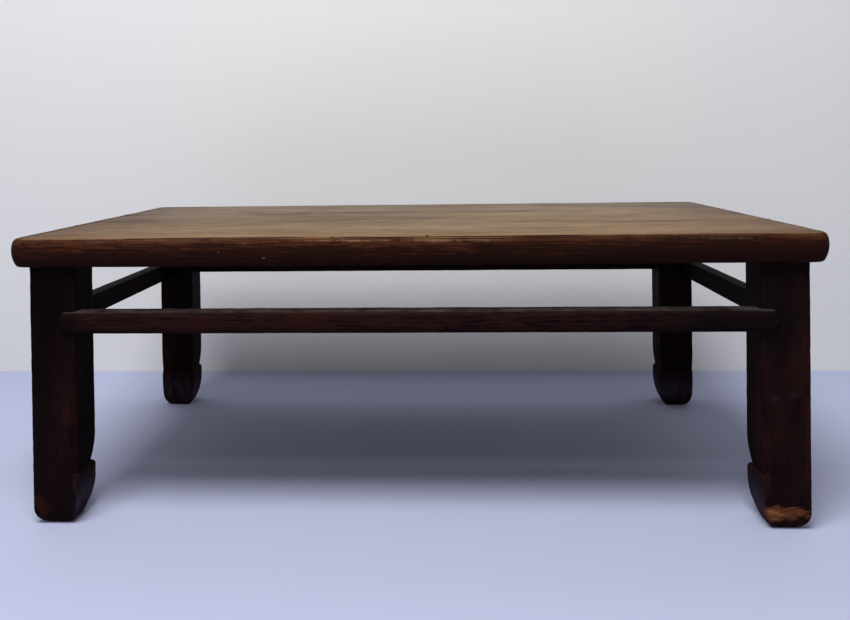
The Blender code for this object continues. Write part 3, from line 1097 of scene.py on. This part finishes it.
frameWood = {
    "rings": 0.0036,
    "dashes": ((85, 680, 680), 5, 0.68),
    "figureShares": (0.1, 0.9),  # rings and dashes
    "smudge": 0.3,
    "broad": 0.7,  # together with the figure
    "middle": 0.5,  # level that contrast leaves alone
    "stain": ((0.36, (0.004, 0.0018, 0.0025)), (0.51, (0.0082, 0.0035, 0.004)),
              (0.66, (0.02, 0.0066, 0.0054))),
    # darker patches round the laps of the front stretcher
    "lapDarkening": (0.005, 0.0031, 0.0036),
    "thin": (0.048, 0.012, 0.009),  # where the stain has worn thin
    "thinSmudge": (0.25, 0.75),
    "rubbedShare": 0.6,
    # pale lavender-grey of scuffs, also painted as the floor's reflection on the hoofs and as highlights on the
    # front stretcher
    "scuffAndSheen": (0.042, 0.031, 0.047),
    "scuffAndSheenSmudge": (0.2, 0.7),
    "dust": (0.08, 0.064, 0.059),
    "patches": ((75, 75, 260), 5, 0.7),
    "patchContrast": 1.8,
    "bareStart": (0.02, 0.25),
    "worn": (0.105, 0.036, 0.018),  # borders of the bare places
    "wornLevel": (0.32, 0.6),
    "bare": (0.25, 0.104, 0.04),
    "bareLevel": (0.7, 1.15),
    "pores": (0.003, 0.0016, 0.0016),
    "poreShare": 0.3,
    "sheen": {"Smudge": 0.25, "Worn": 0.2},
    "roughness": 0.45,
    "gloss": 0.014,
    "heights": {"Streaks": 0.6, "Pores": -1.0},
    "relief": (0.45, 0.0004),
}


def darkWood(name, turn, pith, seed, rub, dust, redness, figure, contrast):
    material, tree, coords, turned = startMaterial(name, turn)
    patterns = woodPatterns(turned, pith, frameWood["rings"], seed)
    patterns["Dashes"] = noise(turned, *frameWood["dashes"])
    smudge = patterns["Smudge"]
    rubbed = useGroup(rubbedArris, Vector=coords, Wear=attribute(tree, "wear"), Amount=rub)["Mask"]
    settled = useGroup(settledDust, Vector=coords, Normal=faceNormal(tree))["Mask"]
    rings, dashes = frameWood["figureShares"]
    shares = {"Rings": rings * figure, "Dashes": dashes * figure,
              "Smudge": frameWood["smudge"], "Broad": frameWood["broad"] - figure}
    level = mixture(patterns, {key: share * contrast for key, share in shares.items()},
                    redness + frameWood["middle"] * (1 - contrast))
    thin = times(attribute(tree, "thin"), between(smudge, *frameWood["thinSmudge"]))
    # scuffs, and in the same colour a painted reflection of the floor on the hoofs and painted highlights on
    # the front stretcher
    scuffAndSheenMask = times(attribute(tree, "scuffAndSheen"), between(smudge, *frameWood["scuffAndSheenSmudge"]))
    # bare wood is brown at its borders and tan in the middle, streaked across the leg
    bare = attribute(tree, "bare")
    patchy = noise(coords, *frameWood["patches"])
    patchShare = frameWood["patchContrast"]
    depth = weighted((bare, 1.0), (patchy, patchShare), plus=-patchShare / 2)
    touched = between(bare, *frameWood["bareStart"])
    patterns["Worn"] = times(between(depth, *frameWood["wornLevel"]), touched)
    colour = layered(colourRamp(level, frameWood["stain"]), frameWood, (
        (attribute(tree, "lapDarkening"), "lapDarkening"), (thin, "thin"),
        (times(rubbed, frameWood["rubbedShare"]), "thin"), (scuffAndSheenMask, "scuffAndSheen"),
        (times(settled, dust), "dust"), (patterns["Worn"], "worn"),
        (times(between(depth, *frameWood["bareLevel"]), touched), "bare"),
        (times(patterns["Pores"], frameWood["poreShare"]), "pores")))
    roughness = mixture(patterns, frameWood["sheen"], frameWood["roughness"])
    height = mixture(patterns, frameWood["heights"])
    finishSurface(material, colour, roughness, frameWood["gloss"], height, frameWood["relief"])
    return material


# inner wood: unfinished and aged, for the battens, pins and wedges

innerWood = {
    "pith": (0, 0.02, 0.02),
    "rings": 0.002,
    "mix": {"Streaks": 0.6, "Broad": 0.4, "Rings": 0.15},
    "stain": ((0.35, (0.19, 0.12, 0.07)), (0.7, (0.085, 0.05, 0.03))),
    "sheen": {"Streaks": 0.2},
    "roughness": 0.6,
    "gloss": 0.2,
    "relief": (0.4, 0.0003),
}


def rawWood(name, turn, seed):
    material, tree, coords, turned = startMaterial(name, turn)
    patterns = woodPatterns(turned, innerWood["pith"], innerWood["rings"], seed)
    colour = colourRamp(mixture(patterns, innerWood["mix"]), innerWood["stain"])
    roughness = mixture(patterns, innerWood["sheen"], innerWood["roughness"])
    finishSurface(material, colour, roughness, innerWood["gloss"], patterns["Streaks"], innerWood["relief"])
    return material


boards = modelBoards()
print("boards modelled:", [len(b.data.polygons) for b in boards])
legs = modelLegs()
print("legs modelled:", [len(l.data.polygons) for l in legs])
bars = modelBars()
print("stretchers modelled:", [len(b.data.polygons) for b in bars])

# boards: seed, pith, gloss of the face, tone, and how much lighter to the right

boardLooks = {
    "top_board_front": {"seed": 0.0, "pith": -0.1, "gloss": 0.02, "tone": (0.93, 0.95, 0.95), "slope": 0.03},
    "top_board_middle": {"seed": 0.37, "pith": 0.05, "gloss": 0.027, "tone": (0.92, 0.97, 1.05), "slope": 0.19},
    # the rear board's bluer, greyer tone is partly painted sheen, as its face is seen at a more glancing angle
    "top_board_rear": {"seed": 0.81, "pith": 0.22, "gloss": 0.033, "tone": (0.92, 1.02, 1.26), "slope": 0.0},
}
# dents along the rear joint and chips on the front edge: place, radius, push
dents = {
    "boardMiddle": [((x, top["joint"] - 0.0005, upperFace), radius, (0, 0, -depth)) for x, radius, depth in (
        (-0.172, 0.01, 0.002), (-0.164, 0.008, 0.0014), (-0.108, 0.009, 0.0012), (-0.094, 0.009, 0.001),
        (0.138, 0.01, 0.0014), (0.152, 0.01, 0.0018), (0.166, 0.009, 0.0013), (0.182, 0.008, 0.0008))],
    "boardFront": [((-0.1565, -0.2567, 0.2935), 0.0035, (0, 0.0012, 0)),
                   ((-0.205, -0.2567, 0.3), 0.0022, (0, 0.0008, 0)),
                   ((-0.083, -0.2525, 0.3148), 0.004, (0, 0.001, -0.0012)),
                   ((-0.075, -0.2525, 0.3148), 0.003, (0, 0.0008, -0.001)),
                   ((0.018, -0.251, 0.3155), 0.003, (0, 0.0006, -0.001))],
}
boardMarks = {
    "boardMiddle": {
        # dirt and painted shade in the dents along the rear joint
        "open": [((x, top["joint"], 0.3155), (reach, 0.007, 0.004), strength) for x, reach, strength in (
            (-0.168, 0.007, 0.9), (-0.101, 0.01, 0.6), (0.15, 0.02, 0.7))],
    },
    "boardFront": {
        # dirt and painted shade in the dents on the front arris
        "open": [((-0.083, -0.2525, 0.3148), (0.003, 0.003, 0.0018), 0.8),
                 ((-0.075, -0.2525, 0.3148), (0.0018, 0.003, 0.0014), 0.6),
                 ((0.018, -0.25, 0.3157), (0.0014, 0.006, 0.0014), 0.8)],
        "bare": [((-0.1565, -0.2567, 0.2935), (0.0022, 0.003, 0.0007), 0.8),
                 ((-0.205, -0.2567, 0.3), (0.0014, 0.002, 0.0005), 0.6)],
    },
}
rimNormals = (0.25, 0.93)


def nearJoint(place):
    return abs(abs(place.y) - top["joint"]) < top["jointRest"]


def onRim(obj):
    # rounded upper arris of a board
    low, high = rimNormals
    rim = upperFace - top["upperArris"]
    return [v.co.copy() for v in obj.data.vertices
            if v.co.z > rim and low < v.normal.z < high and not nearJoint(v.co)]


for board, (node, looks) in zip(boards, boardLooks.items()):
    refine(board)
    # how far below the upper face, over the height of its rounded arris
    setValues(board, "edge", [min(1.0, (upperFace - v.co.z) / top["upperArris"]) for v in board.data.vertices])
    rub(board, onRim(board), top["waves"], top["nicks"], nearJoint)
    if board.name in dents:
        dent(board, dents[board.name])
    markSpots(board, boardMarks, ("bare", "open"))
    edgeLooks = {**looks, "gloss": topWood["edgeGloss"]}
    finished(board, node, "top_wood",
             boardWood(board.name + "Edge", **edgeLooks), boardWood(board.name + "Face", **looks))
print("boards finished")

legWood = {"turn": alongZ, "pith": (0, 0, 0), "rub": 0.25, "dust": 0.06, "figure": 0.15, "contrast": 1.0}
legLooks = {
    "leg_front_left": {"seed": 0.2, "redness": -0.06},
    "leg_front_right": {"seed": 0.45, "redness": 0.03},
    "leg_rear_right": {"seed": 0.7, "redness": 0.0},
    "leg_rear_left": {"seed": 0.95, "redness": 0.01},
}
legMarks = {
    "legFrontRight": {
        "bare": [((0.395, -0.24, 0.0187), (0.024, 0.012, 0.0074), 0.62),
                 ((0.38, -0.24, 0.0173), (0.01, 0.012, 0.0082), 0.95),
                 ((0.369, -0.2415, 0.113), (0.0009, 0.002, 0.002), 0.4),
                 ((0.369, -0.2415, 0.099), (0.001, 0.002, 0.0022), 0.44),
                 ((0.3692, -0.2415, 0.078), (0.0012, 0.002, 0.006), 0.36)],
        "thin": [((0.414, -0.243, 0.12), (0.006, 0.012, 0.07), 0.5),
                 ((0.372, -0.243, 0.095), (0.004, 0.01, 0.042), 0.55),
                 ((0.381, -0.243, 0.14), (0.0042, 0.006, 0.0026), 0.35),
                 ((0.4015, -0.243, 0.143), (0.006, 0.006, 0.0026), 0.4),
                 ((0.394, -0.24, 0.006), (0.024, 0.014, 0.006), 0.45)],
        "scuffAndSheen": [((0.381, -0.243, 0.14), (0.0042, 0.006, 0.0026), 0.2),
                  ((0.4015, -0.243, 0.143), (0.006, 0.006, 0.0026), 0.12)],
        # darker round the lap of the front stretcher
        "lapDarkening": [((0.383, -0.243, 0.2225), (0.018, 0.012, 0.035), 0.75)],
    },
    "legFrontLeft": {
        "bare": [((-0.369, -0.2415, 0.093), (0.001, 0.002, 0.003), 0.36),
                 ((-0.369, -0.2415, 0.048), (0.001, 0.002, 0.004), 0.32)],
        "thin": [((-0.413, -0.24, 0.018), (0.008, 0.012, 0.013), 0.75),
                 ((-0.377, -0.243, 0.105), (0.007, 0.01, 0.04), 0.3),
                 ((-0.37, -0.2415, 0.09), (0.0035, 0.005, 0.045), 0.45)],
        "scuffAndSheen": [((-0.37, -0.2415, 0.047), (0.004, 0.005, 0.011), 0.3)],
    },
}
# painted reflection of the floor on the inner sides of each hoof, round this height
hoofFloorSheen = {"height": 0.024, "reach": 0.036, "strength": 0.9}


def onMarked(obj):
    # faces that the bevel marked
    marked = set()
    for face in obj.data.polygons:
        if face.material_index == 1:
            marked.update(face.vertices)
    return [obj.data.vertices[i].co.copy() for i in marked]


def markScuffsAndSheen(obj):
    # scuffs, and a painted reflection of the floor on the two inner sides of the hoof
    sides = [math.copysign(1, sum(corner[i] for corner in obj.bound_box)) for i in (0, 1)]
    values = spotValues(obj, legMarks.get(obj.name, {}).get("scuffAndSheen", ()))
    for i, vertex in enumerate(obj.data.vertices):
        inwards = max(0.0, -vertex.normal.x * sides[0], -vertex.normal.y * sides[1])
        off = abs(vertex.co.z - hoofFloorSheen["height"]) / hoofFloorSheen["reach"]
        values[i] = max(values[i], inwards * max(0.0, hoofFloorSheen["strength"] - off))
    setValues(obj, "scuffAndSheen", values)


for one, (node, looks) in zip(legs, legLooks.items()):
    refine(one)
    rub(one, onMarked(one), leg["waves"], leg["nicks"])
    markSpots(one, legMarks, ("bare", "thin", "lapDarkening"))
    markScuffsAndSheen(one)
    finished(one, node, "frame_wood", darkWood(one.name + "Wood", **legWood, **looks))
print("legs finished")

longWood = {"turn": alongX, "pith": (0, -0.2, 0.15), "seed": 0.5, "rub": 0.3, "dust": 0.65,
            "redness": 0.09, "figure": 0.5, "contrast": 2.3}
shortWood = {"turn": alongY, "pith": (0, 0.25, 0.15), "seed": 0.9, "rub": 0.3, "dust": 0.35,
             "redness": 0.0, "figure": 0.2, "contrast": 1.3}
barMarks = {
    "stretcherFront": {
        # pale marks on the upper arris and the end of the right lap: painted highlights
        "scuffAndSheen": [((0.3838, -0.246, 0.2235), (0.0012, 0.003, 0.0022), 1.0),
                  ((0.374, -0.246, 0.2345), (0.01, 0.004, 0.0015), 0.6)],
        # darker round both laps
        "lapDarkening": [((-0.386, -0.246, 0.2225), (0.022, 0.02, 0.03), 0.8),
                  ((0.37, -0.246, 0.2225), (0.105, 0.02, 0.03), 0.8)],
    },
}


def onTurns(obj):
    # wherever the surface turns from one side to the next
    return [v.co.copy() for v in obj.data.vertices if max(abs(n) for n in v.normal) < facing]


barWoods = (darkWood("barWoodLong", **longWood), darkWood("barWoodShort", **shortWood))
barNodes = ("stretcher_front", "stretcher_right", "stretcher_rear", "stretcher_left")
for i, (one, node) in enumerate(zip(bars, barNodes)):
    refine(one)
    rub(one, onTurns(one), bar["waves"], bar["nicks"])
    markSpots(one, barMarks, ("scuffAndSheen", "lapDarkening"))
    finished(one, node, "frame_wood", barWoods[i % 2])
print("stretchers finished")

innerLooks = {
    ("edge_pin", "batten"): rawWood("rawWoodAcross", alongY, 0.3),
    ("tenon_wedge",): rawWood("rawWoodUpright", alongZ, 0.6),
}
for name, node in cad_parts.items():
    for starts, material in innerLooks.items():
        if name.startswith(starts):
            node.data.materials.clear()
            node.data.materials.append(material)
print("inner wood set")

# floor, backdrop and light

studio = {
    "floor": (0.435, 0.46, 0.63),
    "floorSize": (14, 14),
    "wall": (0.72, 0.718, 0.712),
    "wallSize": (14, 5),
    "wallPlace": 0.41,
    "paintRoughness": 0.9,
    "world": (0.33, 0.33, 0.33),
    "keyPlace": (-0.3, -1.15, 2.2),
    "keyAim": (0, 0.1, 0.15),
    "keySize": (1.3, 0.9),
    "keyPower": 58,
}


def stagePlane(name, size, place, turn, colour):
    plane = added(bpy.ops.mesh.primitive_plane_add, name, (*size, 1), size=1, location=place, rotation=turn)
    material = bpy.data.materials.new(name + "Paint")
    material.use_nodes = True
    tree = material.node_tree
    shader = tree.nodes["Principled BSDF"]
    feed(shader.inputs["Base Color"], colour)
    feed(shader.inputs["Roughness"], studio["paintRoughness"])
    feed(shader.inputs["Specular IOR Level"], 0.0)
    # clear from behind, so that the table shows from every side
    behind = tree.nodes.new("ShaderNodeNewGeometry").outputs["Backfacing"]
    clear = tree.nodes.new("ShaderNodeBsdfTransparent").outputs[0]
    oneSided = addNode("ShaderNodeMixShader", {0: behind, 1: shader.outputs[0], 2: clear})
    feed(tree.nodes["Material Output"].inputs[0], oneSided.outputs[0])
    plane.data.materials.append(material)
    return plane


stagePlane("floor", studio["floorSize"], (0, 0, 0), (0, 0, 0), studio["floor"])
wallMiddle = (0, studio["wallPlace"], studio["wallSize"][1] / 2)
wall = stagePlane("wall", studio["wallSize"], wallMiddle, (quarterTurn, 0, 0), studio["wall"])
wall.visible_shadow = False

lampData = bpy.data.lights.new("key", "AREA")
lampData.energy = studio["keyPower"]
lampData.shape = "RECTANGLE"
lampData.size, lampData.size_y = studio["keySize"]
lamp = bpy.data.objects.new("key", lampData)
lamp.location = studio["keyPlace"]
lamp.rotation_euler = (Vector(studio["keyAim"]) - lamp.location).to_track_quat("-Z", "Y").to_euler()
bpy.context.scene.collection.objects.link(lamp)
world = bpy.data.worlds.new("studio")
world.use_nodes = True
feed(world.node_tree.nodes["Background"].inputs["Color"], studio["world"])
bpy.context.scene.world = world
bpy.context.scene.view_settings.view_transform = "Standard"
print("floor and light set")
